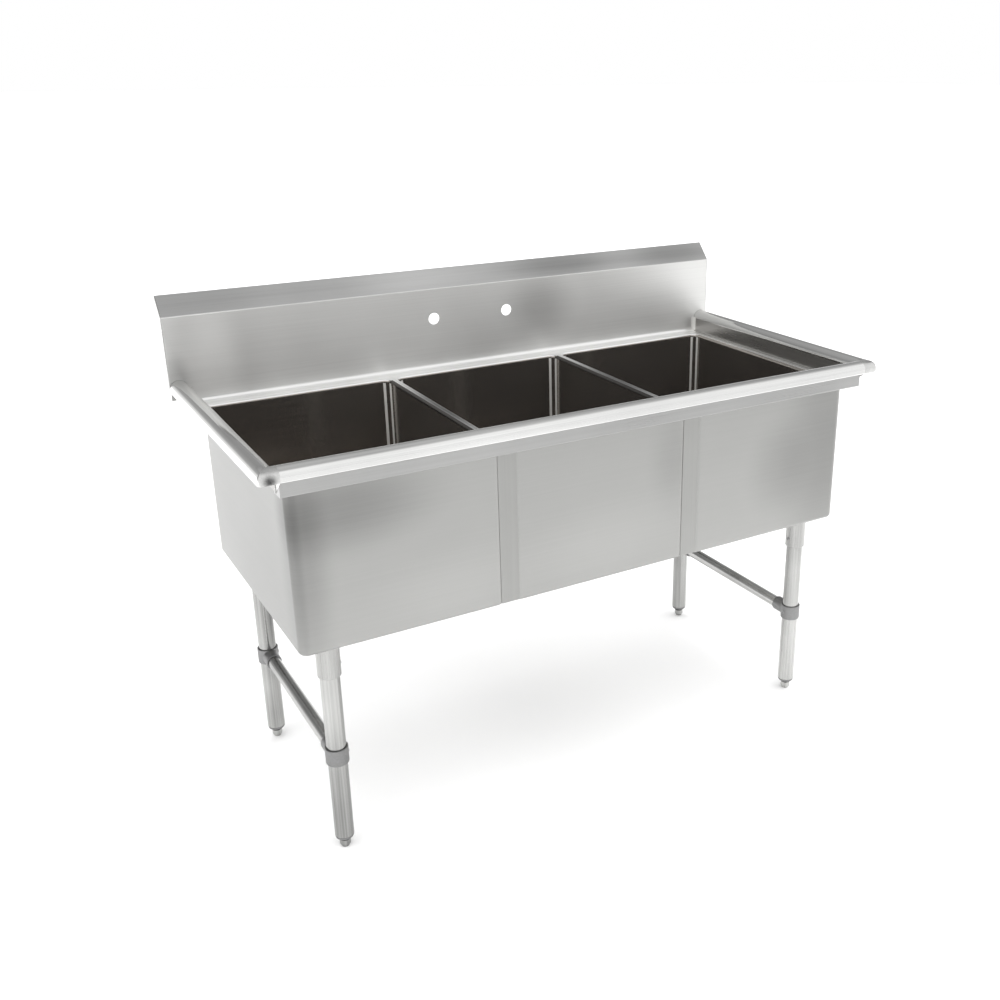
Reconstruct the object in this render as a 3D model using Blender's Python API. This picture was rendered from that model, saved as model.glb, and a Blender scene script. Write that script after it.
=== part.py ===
"""Three compartment sink: three stainless bowls in one deck, a boxed backsplash, four tube legs.

Metres, +Z up, +X to the right, +Y to the back. The origin is on the floor, under the middle
of the sink. Sheet parts are bent or lofted at their real gauge, and round parts are spun.
Pieces that touch keep a gap of 0.3 mm.
"""

from math import cos, pi, radians, sin

import bmesh
import bpy
from mathutils import Matrix, Vector

# --- Driving dimensions -------------------------------------------------------------------
LENGTH = 1.499  # over the side rims, 59 in
DEPTH = 0.735  # front rim to the back of the splash, 29 in
RIM_TOP = 0.920
DECK_TOP = 0.862
BOWL_BOTTOM = 0.5065  # level border of the bowls' outside: 14 in deep
SPLASH_FOLD = 1.064  # where the vertical face leans back
SPLASH_TOP = 1.107
SHEET = 0.0015  # 16 gauge
CUT_REACH = 0.020  # how far a cutting shape runs past what it cuts
TOUCH = 0.0003  # gap that two touching pieces keep
FRONT = -DEPTH / 2
BACK = DEPTH / 2

# Bowls
BOWL_WIDTH = 0.449
BOWL_DEPTH = 0.611
BOWL_GAP = 0.018
BOWL_PITCH = BOWL_WIDTH + BOWL_GAP
BOWL_FRONT = FRONT + 0.0505
BOWL_MIDDLE_Y = BOWL_FRONT + BOWL_DEPTH / 2
CORNER_RADIUS = 0.020
TIGHTEST_CORNER = 0.003
FLOOR_RADIUS = 0.010
CORNER_STEPS = 4
FLAT_BAND = 0.112  # level border of the floor, over the leg sockets
FLOOR_FALL = 0.004  # from that border to the drain
BOWL_NAMES = ("left", "middle", "right")
SEAM_COVER_WIDTH = 0.041
SEAM_COVER_END = 0.005  # above the bowls' lowest flat

# Rim roll
ROLL_WIDTH = 0.041
ROLL_RADIUS = ROLL_WIDTH / 2
ROLL_STEPS = 8
ROLL_LIP = 0.892  # lower edge of the roll's outer wall
ROLL_HEM = 0.006
CORNER_TIP = 0.008  # rounding of the rim's mitred corners, seen from above
TIP_STEPS = 4
AXIS_GAP = 0.0004  # keeps a corner's inner wall off its own edge
CHANNEL_FACE = FRONT + 0.016
CHANNEL_LOW = 0.8575
DECK_HALF = LENGTH / 2 - ROLL_WIDTH  # from the middle to a side rim's inner wall
DECK_FRONT = FRONT + ROLL_WIDTH

# Backsplash
SPLASH_RUN = 0.042  # how far the sloping top leans back
SPLASH_FACE = BACK - SPLASH_RUN
SPLASH_RETURN = 0.050
COVE = 0.012
TAP_CENTRES = 0.2032  # 8 in
TAP_RADIUS = 0.0145
TAP_HEIGHT = 0.989

# Legs, braces and feet
LEG_X = 0.622
LEG_FRONT = FRONT + 0.110
LEG_BACK = FRONT + 0.606
LEG_RADIUS = 0.02065
LEG_BOTTOM = 0.031
LEG_STEPS = 24
SOCKET_BOTTOM = 0.423
SOCKET_RADIUS = 0.0245
SOCKET_BORE = 0.0211
SOCKET_PLATE = 0.074
PLATE_THICKNESS = 0.003
BRACE_HEIGHT = 0.233
BRACE_RADIUS = 0.015
COLLAR_HEIGHT = 0.038
STUB_RADIUS = 0.0185
STUB_BORE = 0.0154
STUB_END = 0.052  # from the leg's axis to the stub's mouth
STUB_FLOOR = 0.027
BRACE_STEPS = 20
SCREW_RADIUS = 0.004
SCREW_LENGTH = 0.0045
SCREW_DROP = 0.022  # from a sleeve's lower end up to its screw
FOOT_STEPS = 16
INSERT_RADIUS = 0.0200
INSERT_BORE = 0.0066
INSERT_LOW = 0.0235
INSERT_TOP = 0.056
INSERT_CHAMFER = 0.005
BULLET_RADIUS = 0.0120
BULLET_TIP = 0.0085
BULLET_HEIGHT = 0.0185
STEM_RADIUS = 0.0062
STEM_TOP = 0.0600

# Drains
DRAIN_STEPS = 20
DRAIN_HOLE = 0.0445
RECESS_RADIUS = 0.060
RECESS_DEPTH = 0.0025
RECESS_EDGE = 0.004  # width of the step down to the recess
RECESS_TOP = BOWL_BOTTOM + SHEET - FLOOR_FALL - RECESS_DEPTH  # where the drain flange sits
FLANGE_RADIUS = 0.0570
FLANGE_THICKNESS = 0.0020
CUP_RADIUS = 0.0425
CUP_BORE = 0.0375
CUP_DEPTH = 0.0320
TAIL_RADIUS = 0.0230
TAIL_BORE = 0.0190
TAIL_END = 0.0700
NECK_DEPTH = 0.0366  # where the cup narrows to the tail
SEAT_HEIGHT = 0.0016  # of the edge that the strainer sits in
EASE = 0.001  # small steps and broken edges
GASKET_BORE = 0.0440
GASKET_RADIUS = 0.0560
GASKET_THICKNESS = 0.0030
NUT_BORE = 0.0432
NUT_HEIGHT = 0.0080
BASKET_EDGE = 0.0408
BASKET_RADIUS = 0.0360
BASKET_DEPTH = 0.0270
BASKET_SHEET = 0.0014
KNOB_RADIUS = 0.0095
KNOB_STEM = 0.0040
KNOB_TOP = 0.0050
STOPPER_RADIUS = 0.0250
STOPPER_THICKNESS = 0.0052

LEGS = {
    "front_left": (-LEG_X, LEG_FRONT),
    "front_right": (LEG_X, LEG_FRONT),
    "rear_left": (-LEG_X, LEG_BACK),
    "rear_right": (LEG_X, LEG_BACK),
}


# --- Materials ----------------------------------------------------------------------------
def material(name, colour, metallic, roughness):
    made = bpy.data.materials.new(name)
    made.use_nodes = True
    shader = made.node_tree.nodes["Principled BSDF"]
    shader.inputs["Base Color"].default_value = (*colour, 1.0)
    shader.inputs["Metallic"].default_value = metallic
    shader.inputs["Roughness"].default_value = roughness
    return made


# --- Shape helpers ------------------------------------------------------------------------
def new_object(name, bm, finish, smooth=True):
    """Turns a bmesh into a named object, with round faces shaded smooth."""
    bmesh.ops.remove_doubles(bm, verts=bm.verts, dist=1e-6)
    bmesh.ops.dissolve_degenerate(bm, edges=bm.edges, dist=1e-6)
    bmesh.ops.recalc_face_normals(bm, faces=bm.faces)
    mesh = bpy.data.meshes.new(name)
    bm.to_mesh(mesh)
    bm.free()
    mesh.materials.append(finish)
    if smooth:
        mesh.shade_smooth()
        mesh.set_sharp_from_angle(angle=radians(35))
    made = bpy.data.objects.new(name, mesh)
    bpy.context.collection.objects.link(made)
    return made


def outline_face(bm, points):
    return bm.faces.new([bm.verts.new(point) for point in points])


def extruded(name, points, travel, finish):
    """A prism: the flat outline of 3D points, pulled along the vector travel."""
    bm = bmesh.new()
    face = outline_face(bm, points)
    pulled = bmesh.ops.extrude_face_region(bm, geom=[face])
    moved = [item for item in pulled["geom"] if isinstance(item, bmesh.types.BMVert)]
    bmesh.ops.translate(bm, verts=moved, vec=travel)
    return new_object(name, bm, finish)


def spun(name, outline, steps, finish, angle=2 * pi, centre=(0, 0), start=0.0):
    """Spins a closed outline of (radius, height) points about a vertical axis through centre."""
    bm = bmesh.new()
    axis = Vector((*centre, 0))
    ray = Vector((cos(start), sin(start), 0))
    face = outline_face(bm, [axis + ray * radius + Vector((0, 0, z)) for radius, z in outline])
    whole = angle >= 2 * pi
    geometry = list(face.verts) + list(face.edges) + ([] if whole else [face])
    if whole:
        bm.faces.remove(face)
    bmesh.ops.spin(
        bm, geom=geometry, cent=axis, axis=(0, 0, 1), angle=angle, steps=steps, use_merge=whole
    )
    return new_object(name, bm, finish)


def box(name, low, high, finish):
    corners = [(low[0], low[1]), (high[0], low[1]), (high[0], high[1]), (low[0], high[1])]
    points = [(x, y, low[2]) for x, y in corners]
    return extruded(name, points, (0, 0, high[2] - low[2]), finish)


def cylinder(name, radius, start, end, steps, finish):
    """A solid cylinder between two points."""
    bm = bmesh.new()
    way = Vector(end) - Vector(start)
    turn = way.to_track_quat("Z", "Y").to_matrix().to_4x4()
    spot = Matrix.Translation((Vector(start) + Vector(end)) / 2) @ turn
    bmesh.ops.create_cone(
        bm, cap_ends=True, segments=steps, radius1=radius, radius2=radius, depth=way.length, matrix=spot
    )
    return new_object(name, bm, finish)


def combine(target, other, operation):
    """Joins other to target, or cuts it away, and leaves only target."""
    modifier = target.modifiers.new(operation.title(), "BOOLEAN")
    modifier.operation = operation
    modifier.object = other
    graph = bpy.context.evaluated_depsgraph_get()
    mesh = bpy.data.meshes.new_from_object(target.evaluated_get(graph))
    target.modifiers.clear()
    target.data = mesh
    bpy.data.objects.remove(other)
    return target


def bent_sheet(path, thickness):
    """The outline of a sheet that follows a path of 2D points, with its thickness on the right."""
    points = [Vector(point) for point in path]
    last = len(points) - 1
    inside = []
    for index, point in enumerate(points):
        ahead = (points[min(index + 1, last)] - points[min(index, last - 1)]).normalized()
        behind = (points[max(index, 1)] - points[max(index - 1, 0)]).normalized()
        normal = (Vector((ahead.y, -ahead.x)) + Vector((behind.y, -behind.x))).normalized()
        reach = thickness / normal.dot(Vector((ahead.y, -ahead.x)))
        inside.append(point + normal * reach)
    return [tuple(point) for point in points + inside[::-1]]


def arc(centre, radius, start, end, steps):
    """Points on an arc, in degrees, from start to end."""
    angles = [radians(start + (end - start) * index / steps) for index in range(steps + 1)]
    return [(centre[0] + radius * cos(a), centre[1] + radius * sin(a)) for a in angles]


def rounded_rectangle(centre, width, depth, radius, z):
    """A loop of points, four corners of CORNER_STEPS steps each, anticlockwise from above."""
    points = []
    for quarter, (side_x, side_y) in enumerate(((1, 1), (-1, 1), (-1, -1), (1, -1))):
        spot = (
            centre[0] + side_x * (width / 2 - radius),
            centre[1] + side_y * (depth / 2 - radius),
        )
        turned = arc(spot, radius, 90 * quarter, 90 * quarter + 90, CORNER_STEPS)
        points += [(x, y, z) for x, y in turned]
    return points


def circle_loop(centre, radius, z):
    """A circle with as many points as a rounded rectangle, each facing the same way."""
    count = 4 * (CORNER_STEPS + 1)
    angles = [2 * pi * (index + 0.5) / count for index in range(count)]
    return [(centre[0] + radius * cos(a), centre[1] + radius * sin(a), z) for a in angles]


def lofted_ring(name, loops, finish):
    """Skins closed loops of equal count in order, and the last back to the first."""
    bm = bmesh.new()
    rings = [[bm.verts.new(point) for point in loop] for loop in loops]
    count = len(rings[0])
    for lower, upper in zip(rings, rings[1:] + rings[:1]):
        for index in range(count):
            after = (index + 1) % count
            bm.faces.new((lower[index], lower[after], upper[after], upper[index]))
    return new_object(name, bm, finish)


# --- Bowls, deck and rim ------------------------------------------------------------------
def bowl_skin(centre, inset, lift):
    """Loops down one face of a bowl and in to its drain hole. inset and lift give the inner face."""
    width, depth = BOWL_WIDTH - 2 * inset, BOWL_DEPTH - 2 * inset
    corner, floor = CORNER_RADIUS - inset, FLOOR_RADIUS - inset
    bottom = BOWL_BOTTOM + lift
    top = DECK_TOP - SHEET - TOUCH
    loops = [rounded_rectangle(centre, width, depth, corner, top)]
    for across, down in arc((0, 0), floor, 0, -90, 3):
        pull = floor - across
        size = (width - 2 * pull, depth - 2 * pull)
        tight = max(corner - pull, TIGHTEST_CORNER)
        loops.append(rounded_rectangle(centre, *size, tight, bottom + floor + down))
    inner = (BOWL_WIDTH - 2 * FLAT_BAND, BOWL_DEPTH - 2 * FLAT_BAND)
    loops.append(rounded_rectangle(centre, *inner, CORNER_RADIUS, bottom))
    dish = bottom - FLOOR_FALL
    loops.append(circle_loop(centre, RECESS_RADIUS + RECESS_EDGE, dish))
    loops.append(circle_loop(centre, RECESS_RADIUS, dish - RECESS_DEPTH))
    loops.append(circle_loop(centre, DRAIN_HOLE, dish - RECESS_DEPTH))
    return loops


def make_bowls(finish):
    for index, side in enumerate(BOWL_NAMES):
        centre = ((index - 1) * BOWL_PITCH, BOWL_MIDDLE_Y)
        outside = bowl_skin(centre, 0, 0)
        inside = bowl_skin(centre, SHEET, SHEET)
        lofted_ring(f"bowl_{side}", outside + inside[::-1], finish)


def make_deck(finish):
    """The flat top sheet: three openings, and a cove up to the splash along its back edge."""
    ledge = DECK_FRONT - SHEET
    path = [(SPLASH_FACE, DECK_TOP + COVE)]
    path += arc((SPLASH_FACE - COVE, DECK_TOP + COVE), COVE, 0, -90, 4)[1:]
    path.append((ledge, DECK_TOP))
    outline = bent_sheet(path[::-1], SHEET)
    half = DECK_HALF + SHEET
    deck = extruded("deck_sheet", [(-half, y, z) for y, z in outline], (2 * half, 0, 0), finish)
    for index in range(3):
        centre = ((index - 1) * BOWL_PITCH, BOWL_MIDDLE_Y)
        size = (BOWL_WIDTH - 2 * SHEET, BOWL_DEPTH - 2 * SHEET)
        loop = rounded_rectangle(centre, *size, CORNER_RADIUS - SHEET, DECK_TOP - CUT_REACH)
        combine(deck, extruded("opening", loop, (0, 0, 2 * CUT_REACH), finish), "DIFFERENCE")
    for side in (-1, 1):
        near, far = side * (DECK_HALF - TOUCH), side * (half + CUT_REACH)
        low = (min(near, far), SPLASH_FACE - COVE - TOUCH, DECK_TOP - CUT_REACH)
        high = (max(near, far), SPLASH_FACE + CUT_REACH, DECK_TOP + 2 * CUT_REACH)
        combine(deck, box("notch", low, high, finish), "DIFFERENCE")


def roll_section(inner):
    """The rim's section as (outwards, height) points: inner wall, half round, outer wall, hem."""
    spring = RIM_TOP - ROLL_RADIUS
    path = [(inner, DECK_TOP + TOUCH)]
    path.append((inner, spring))
    path += arc((ROLL_RADIUS, spring), ROLL_RADIUS, 180, 0, ROLL_STEPS)[1:]
    path += [(ROLL_WIDTH, ROLL_LIP), (ROLL_WIDTH - ROLL_HEM, ROLL_LIP)]
    return bent_sheet(path, SHEET)


def make_rim(finish):
    section = roll_section(0)
    half = DECK_HALF - TOUCH
    front = [(-half, DECK_FRONT - out, z) for out, z in section]
    extruded("rim_front", front, (2 * half, 0, 0), finish)
    start = DECK_FRONT + TOUCH
    run = SPLASH_FACE - TOUCH - start
    for name, side in (("left", -1), ("right", 1)):
        edge = [(side * (DECK_HALF + out), start, z) for out, z in section]
        extruded(f"rim_{name}", edge, (0, run, 0), finish)
        make_rim_corner(name, side, finish)


def make_rim_corner(name, side, finish):
    """The mitred corner between two rims: the same section, led round a rounded square."""
    section = [(max(out, AXIS_GAP), z) for out, z in roll_section(0)]
    square = ROLL_WIDTH - CORNER_TIP
    rings = [[(out, 0, z) for out, z in section]]
    for across, along in arc((0, 0), 1, 0, 90, TIP_STEPS):
        ring = []
        for out, z in section:
            edge, bulge = min(out, square), max(out - square, 0)
            ring.append((edge + bulge * across, edge + bulge * along, z))
        rings.append(ring)
    rings.append([(0, out, z) for out, z in section])
    bm = bmesh.new()
    placed = []
    for ring in rings:
        spots = [(side * (DECK_HALF + u), DECK_FRONT - v, z) for u, v, z in ring]
        placed.append([bm.verts.new(spot) for spot in spots])
    count = len(section)
    for near, far in zip(placed, placed[1:]):
        for index in range(count):
            after = (index + 1) % count
            bm.faces.new((near[index], near[after], far[after], far[index]))
    for ring in (placed[0], placed[-1]):
        bm.faces.new(ring)
    return new_object(f"rim_corner_{name}", bm, finish)


def make_front_trim(finish):
    """The angle that closes the front roll, and the covers over the gaps between the bowls."""
    back = BOWL_FRONT - TOUCH
    path = [(back, CHANNEL_LOW), (CHANNEL_FACE, CHANNEL_LOW), (CHANNEL_FACE, RIM_TOP - ROLL_RADIUS)]
    outline = bent_sheet(path, SHEET)
    half = DECK_HALF - TOUCH
    extruded("rim_front_channel", [(-half, y, z) for y, z in outline], (2 * half, 0, 0), finish)
    for side, offset in (("left", -0.5), ("right", 0.5)):
        middle = offset * BOWL_PITCH
        low = (middle - SEAM_COVER_WIDTH / 2, BOWL_FRONT, BOWL_BOTTOM + SEAM_COVER_END)
        high = (middle + SEAM_COVER_WIDTH / 2, BOWL_FRONT + SHEET, CHANNEL_LOW - TOUCH)
        box(f"seam_cover_{side}", low, high, finish)


def make_backsplash(finish):
    back = SPLASH_FACE + SPLASH_RUN
    path = [
        (SPLASH_FACE, DECK_TOP + COVE + TOUCH),
        (SPLASH_FACE, SPLASH_FOLD),
        (back, SPLASH_TOP),
        (back, SPLASH_TOP - SPLASH_RETURN),
    ]
    half = LENGTH / 2 - SHEET - TOUCH
    section = [(-half, y, z) for y, z in bent_sheet(path, SHEET)]
    panel = extruded("backsplash_panel", section, (2 * half, 0, 0), finish)
    for side in (-1, 1):
        x = side * TAP_CENTRES / 2
        start, end = (x, SPLASH_FACE - CUT_REACH, TAP_HEIGHT), (x, SPLASH_FACE + CUT_REACH, TAP_HEIGHT)
        hole = cylinder("tap_hole", TAP_RADIUS, start, end, 24, finish)
        combine(panel, hole, "DIFFERENCE")
    cap = [(SPLASH_FACE, ROLL_LIP), path[1], path[2], (back, ROLL_LIP)]
    for name, x in (("left", -LENGTH / 2), ("right", LENGTH / 2 - SHEET)):
        plate = [(x, y, z) for y, z in cap]
        extruded(f"splash_end_{name}", plate, (SHEET, 0, 0), finish)


# --- Legs, feet and braces ----------------------------------------------------------------
def make_socket(name, x, y, finish, screw_finish):
    """A plate under the bowl with a sleeve for the leg, and its grub screw, facing inwards."""
    top = BOWL_BOTTOM - TOUCH
    half = SOCKET_PLATE / 2
    low = (-half, -half, top - PLATE_THICKNESS)
    socket = box(f"leg_socket_{name}", low, (half, half, top), finish)
    end = (0, 0, top - PLATE_THICKNESS / 2)
    sleeve = cylinder("sleeve", SOCKET_RADIUS, (0, 0, SOCKET_BOTTOM), end, LEG_STEPS, finish)
    combine(socket, sleeve, "UNION")
    bore_top = top - PLATE_THICKNESS
    start = (0, 0, SOCKET_BOTTOM - CUT_REACH)
    bore = cylinder("bore", SOCKET_BORE, start, (0, 0, bore_top), LEG_STEPS, finish)
    combine(socket, bore, "DIFFERENCE")
    screw_height = SOCKET_BOTTOM + SCREW_DROP
    drill_screw_hole(socket, x, screw_height, finish)
    socket.location = (x, y, 0)
    make_screw(f"socket_screw_{name}", x, y, screw_height, screw_finish)


def drill_screw_hole(holder, x, height, finish):
    """A hole for a grub screw, through the side of a sleeve that faces the sink's middle."""
    inwards = -1 if x > 0 else 1
    start, end = (inwards * LEG_RADIUS / 2, 0, height), (inwards * 2 * SOCKET_RADIUS, 0, height)
    combine(holder, cylinder("drill", SCREW_RADIUS + TOUCH, start, end, 12, finish), "DIFFERENCE")


def make_screw(name, x, y, height, finish):
    """A grub screw whose tip is TOUCH from the leg, on the side that faces the middle."""
    inwards = -1 if x > 0 else 1
    tip = LEG_RADIUS + 2 * TOUCH
    start = (x + inwards * tip, y, height)
    end = (x + inwards * (tip + SCREW_LENGTH), y, height)
    return cylinder(name, SCREW_RADIUS, start, end, 10, finish)


def make_leg(name, x, y, finish):
    top = BOWL_BOTTOM - PLATE_THICKNESS - 3 * TOUCH
    wall = LEG_RADIUS - SHEET
    outline = [(wall, LEG_BOTTOM), (LEG_RADIUS, LEG_BOTTOM), (LEG_RADIUS, top), (wall, top)]
    leg = spun(f"leg_{name}", outline, LEG_STEPS, finish)
    leg.location = (x, y, 0)


def make_foot(name, x, y, insert_finish, foot_finish):
    """The threaded insert in the end of the leg, and the bullet foot that screws into it."""
    plug = LEG_RADIUS - SHEET - TOUCH
    ledge = LEG_BOTTOM - TOUCH
    chamfer = INSERT_CHAMFER
    insert = [
        (INSERT_BORE, INSERT_LOW),
        (INSERT_RADIUS - chamfer, INSERT_LOW),
        (INSERT_RADIUS, INSERT_LOW + chamfer),
        (INSERT_RADIUS, ledge),
        (plug, ledge),
        (plug, INSERT_TOP),
        (INSERT_BORE, INSERT_TOP),
    ]
    fixed = spun(f"foot_insert_{name}", insert, FOOT_STEPS, insert_finish)
    fixed.location = (x, y, 0)
    bullet = [
        (0, 0),
        (BULLET_TIP, 0),
        (BULLET_RADIUS - 0.1 * BULLET_TIP, 0.15 * BULLET_HEIGHT),
        (BULLET_RADIUS, 0.5 * BULLET_HEIGHT),
        (BULLET_RADIUS, BULLET_HEIGHT),
        (STEM_RADIUS, BULLET_HEIGHT),
        (STEM_RADIUS, STEM_TOP),
        (0, STEM_TOP),
    ]
    foot = spun(f"foot_{name}", bullet, FOOT_STEPS, foot_finish)
    foot.location = (x, y, 0)


def make_collar(name, x, y, parent, finish, screw_finish):
    """A sleeve that clamps on the leg, with a stub towards the other leg of the same side."""
    low, high = BRACE_HEIGHT - COLLAR_HEIGHT / 2, BRACE_HEIGHT + COLLAR_HEIGHT / 2
    inwards = 1 if y < 0 else -1
    collar = cylinder(
        f"brace_collar_{name}", SOCKET_RADIUS, (0, 0, low), (0, 0, high), LEG_STEPS, finish
    )
    mouth = (0, inwards * STUB_END, BRACE_HEIGHT)
    stub = cylinder("stub", STUB_RADIUS, (0, 0, BRACE_HEIGHT), mouth, BRACE_STEPS, finish)
    combine(collar, stub, "UNION")
    start, end = (0, 0, low - CUT_REACH), (0, 0, high + CUT_REACH)
    bore = cylinder("bore", SOCKET_BORE, start, end, LEG_STEPS, finish)
    combine(collar, bore, "DIFFERENCE")
    start = (0, inwards * STUB_FLOOR, BRACE_HEIGHT)
    end = (0, inwards * (STUB_END + CUT_REACH), BRACE_HEIGHT)
    stub_bore = cylinder("stub_bore", STUB_BORE, start, end, BRACE_STEPS, finish)
    combine(collar, stub_bore, "DIFFERENCE")
    drill_screw_hole(collar, x, BRACE_HEIGHT, finish)
    collar.location = (x, y, 0)
    screw = make_screw(f"collar_screw_{name}", x, y, BRACE_HEIGHT, screw_finish)
    for piece in (collar, screw):
        keep_place(piece, parent)


def keep_place(piece, parent):
    bpy.context.view_layer.update()
    piece.parent = parent
    piece.matrix_parent_inverse = parent.matrix_world.inverted()


def make_brace(side, x, tube_finish, collar_finish, screw_finish):
    """One side brace: its tube and two collars hang on an empty, and slide together."""
    middle = (LEG_FRONT + LEG_BACK) / 2
    mover = bpy.data.objects.new(f"brace_mover_{side}", None)
    mover.location = (x, middle, BRACE_HEIGHT)
    bpy.context.collection.objects.link(mover)
    reach = (LEG_BACK - LEG_FRONT) / 2 - STUB_FLOOR - TOUCH
    wall = BRACE_RADIUS - SHEET
    outline = [(wall, -reach), (BRACE_RADIUS, -reach), (BRACE_RADIUS, reach), (wall, reach)]
    tube = spun(f"side_brace_{side}", outline, BRACE_STEPS, tube_finish)
    tube.location = (x, middle, BRACE_HEIGHT)
    tube.rotation_euler.x = pi / 2
    keep_place(tube, mover)
    for end, y in (("front", LEG_FRONT), ("rear", LEG_BACK)):
        make_collar(f"{end}_{side}", x, y, mover, collar_finish, screw_finish)


# --- Drains -------------------------------------------------------------------------------
def drain_body_outline():
    """Flange, cup and tail, from the flange's edge round the inside and back up the outside."""
    return [
        (FLANGE_RADIUS, TOUCH),
        (FLANGE_RADIUS - FLANGE_THICKNESS / 2, FLANGE_THICKNESS),
        (CUP_RADIUS - TOUCH, SEAT_HEIGHT),
        (CUP_BORE + EASE, -2 * FLANGE_THICKNESS),
        (CUP_BORE, TOUCH * 10 - CUP_DEPTH),
        (TAIL_BORE, 2 * EASE - NECK_DEPTH),
        (TAIL_BORE, -TAIL_END),
        (TAIL_RADIUS, -TAIL_END),
        (TAIL_RADIUS, -SHEET - NECK_DEPTH),
        (CUP_RADIUS, -CUP_DEPTH),
        (CUP_RADIUS, TOUCH),
    ]


def basket_outline():
    """A thin cup with a flared edge, and the knob that it is lifted by."""
    floor = BASKET_SHEET - BASKET_DEPTH
    wall = BASKET_RADIUS - BASKET_SHEET
    waist = -3.2 * BASKET_SHEET
    return [
        (0, -BASKET_DEPTH),
        (BASKET_RADIUS - 3 * EASE, EASE - BASKET_DEPTH),
        (BASKET_RADIUS - EASE, 4 * EASE - BASKET_DEPTH),
        (BASKET_RADIUS, waist),
        (BASKET_RADIUS + 2 * EASE, waist + EASE),
        (BASKET_EDGE, TOUCH),
        (BASKET_EDGE - EASE, TOUCH + EASE),
        (wall + TOUCH, waist + 0.0006),
        (wall - EASE, floor + 3 * EASE),
        (wall - 0.0025, floor + 0.0008),
        (KNOB_STEM, floor),
        (KNOB_STEM, -KNOB_TOP - EASE),
        (KNOB_RADIUS, EASE - KNOB_TOP),
        (KNOB_RADIUS, 0.4 * KNOB_TOP),
        (0, KNOB_TOP),
    ]


def make_drain(side, x, steel, rubber, brass):
    """A basket drain: body, gasket and locknut, and the basket that lifts out with its stopper."""
    under = -SHEET - TOUCH
    gasket_low = under - GASKET_THICKNESS
    gasket = [
        (GASKET_BORE, gasket_low),
        (GASKET_RADIUS, gasket_low),
        (GASKET_RADIUS, under),
        (GASKET_BORE, under),
    ]
    nut_top = gasket_low - TOUCH
    nut_low = nut_top - NUT_HEIGHT
    nut = [
        (NUT_BORE, nut_low),
        (FLANGE_RADIUS, nut_low),
        (FLANGE_RADIUS, nut_top),
        (NUT_BORE, nut_top),
    ]
    stopper_top = -BASKET_DEPTH - TOUCH
    stopper_low = stopper_top - STOPPER_THICKNESS
    stopper = [
        (0, stopper_low),
        (STOPPER_RADIUS - 0.0035, stopper_low),
        (STOPPER_RADIUS, stopper_low + SHEET),
        (STOPPER_RADIUS, stopper_top),
        (0, stopper_top),
    ]
    parts = (
        (f"drain_body_{side}", drain_body_outline(), steel),
        (f"drain_gasket_{side}", gasket, rubber),
        (f"drain_locknut_{side}", nut, brass),
        (f"strainer_basket_{side}", basket_outline(), steel),
        (f"basket_stopper_{side}", stopper, rubber),
    )
    for name, outline, finish in parts:
        piece = spun(name, outline, DRAIN_STEPS, finish)
        piece.location = (x, BOWL_MIDDLE_Y, RECESS_TOP)


# --- The sink -----------------------------------------------------------------------------
def main():
    for leftover in list(bpy.data.objects):
        bpy.data.objects.remove(leftover)
    brushed = material("brushed_steel", (0.56, 0.56, 0.55), 1.0, 0.34)
    polished = material("polished_steel", (0.66, 0.66, 0.65), 1.0, 0.22)
    tube = material("tube_steel", (0.60, 0.60, 0.59), 1.0, 0.28)
    cast = material("cast_collar", (0.42, 0.42, 0.42), 1.0, 0.45)
    screw = material("dark_screw", (0.20, 0.20, 0.20), 1.0, 0.40)
    rubber = material("black_rubber", (0.03, 0.03, 0.03), 0.0, 0.60)
    brass = material("brass", (0.60, 0.48, 0.28), 1.0, 0.35)

    make_bowls(brushed)
    make_deck(brushed)
    make_rim(polished)
    make_front_trim(brushed)
    make_backsplash(brushed)
    for name, (x, y) in LEGS.items():
        make_socket(name, x, y, tube, screw)
        make_leg(name, x, y, tube)
        make_foot(name, x, y, cast, tube)
    make_brace("left", -LEG_X, tube, cast, screw)
    make_brace("right", LEG_X, tube, cast, screw)
    for index, side in enumerate(BOWL_NAMES):
        make_drain(side, (index - 1) * BOWL_PITCH, polished, rubber, brass)


main()
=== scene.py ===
"""Looks of the three compartment sink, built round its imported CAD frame."""

from math import cos, pi, radians, sin

import bmesh
import bpy
from mathutils import Matrix, Vector


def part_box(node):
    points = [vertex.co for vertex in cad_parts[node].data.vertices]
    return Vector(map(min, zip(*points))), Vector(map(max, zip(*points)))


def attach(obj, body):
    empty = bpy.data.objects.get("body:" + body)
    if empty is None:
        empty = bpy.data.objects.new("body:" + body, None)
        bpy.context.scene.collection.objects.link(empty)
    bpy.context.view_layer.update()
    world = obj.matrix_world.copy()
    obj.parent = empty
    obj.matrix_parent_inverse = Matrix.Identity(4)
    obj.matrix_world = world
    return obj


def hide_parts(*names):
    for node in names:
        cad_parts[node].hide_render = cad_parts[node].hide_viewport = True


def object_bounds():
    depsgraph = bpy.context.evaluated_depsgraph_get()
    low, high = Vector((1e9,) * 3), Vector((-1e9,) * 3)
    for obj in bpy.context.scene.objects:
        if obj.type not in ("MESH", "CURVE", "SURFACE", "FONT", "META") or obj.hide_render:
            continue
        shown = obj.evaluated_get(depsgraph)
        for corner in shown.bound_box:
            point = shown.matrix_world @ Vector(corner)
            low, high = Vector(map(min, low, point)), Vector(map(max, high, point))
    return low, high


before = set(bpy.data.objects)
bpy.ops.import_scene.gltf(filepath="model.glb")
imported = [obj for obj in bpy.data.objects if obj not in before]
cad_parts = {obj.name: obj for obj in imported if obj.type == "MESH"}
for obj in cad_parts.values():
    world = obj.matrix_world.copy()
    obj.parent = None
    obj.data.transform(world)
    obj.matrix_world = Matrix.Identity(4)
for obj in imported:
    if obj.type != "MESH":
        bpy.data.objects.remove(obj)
cad_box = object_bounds()

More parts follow.
